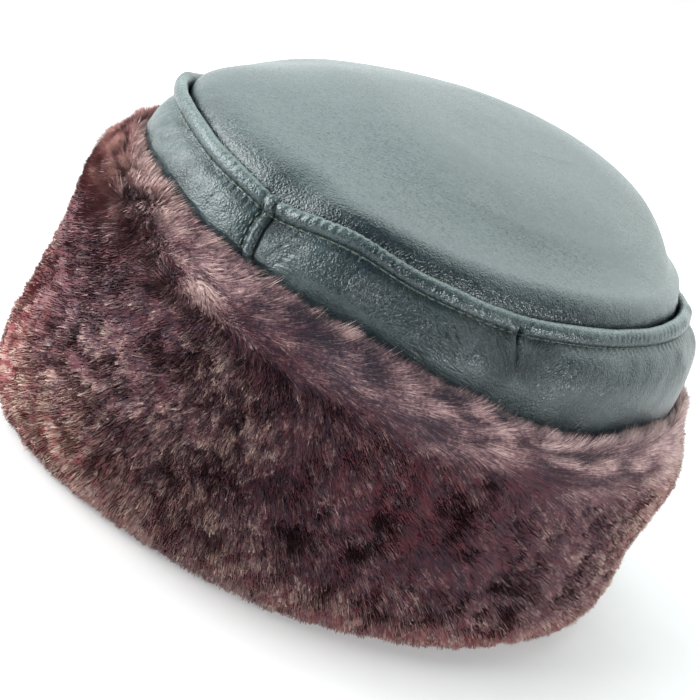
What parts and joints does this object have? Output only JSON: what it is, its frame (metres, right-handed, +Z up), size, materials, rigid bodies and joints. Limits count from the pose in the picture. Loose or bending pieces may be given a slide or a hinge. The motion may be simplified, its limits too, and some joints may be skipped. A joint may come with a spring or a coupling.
{
  "type": "kubanka hat",
  "caption": "Low oval winter hat with a puffed leather crown, a topstitched side band and a deep turned-up fur cuff.",
  "frame": {"origin": "middle of the bounding box, on the plane that the cuff's foot stands on", "axes": "+Z up through the crown, +Y along the oval's length to the back, beside the band's join, and +X across it"},
  "size_m": [0.2058, 0.2524, 0.1384],
  "materials": {
    "crown_leather": "soft semi-matte, grey-green",
    "cuff_fur": "deep dense pile, mottled burgundy with pale tips"
  },
  "bodies": {
    "root": {"crown_top": "crown_leather", "crown_band": "crown_leather", "fur_cuff": "cuff_fur"}
  },
  "joints": []
}
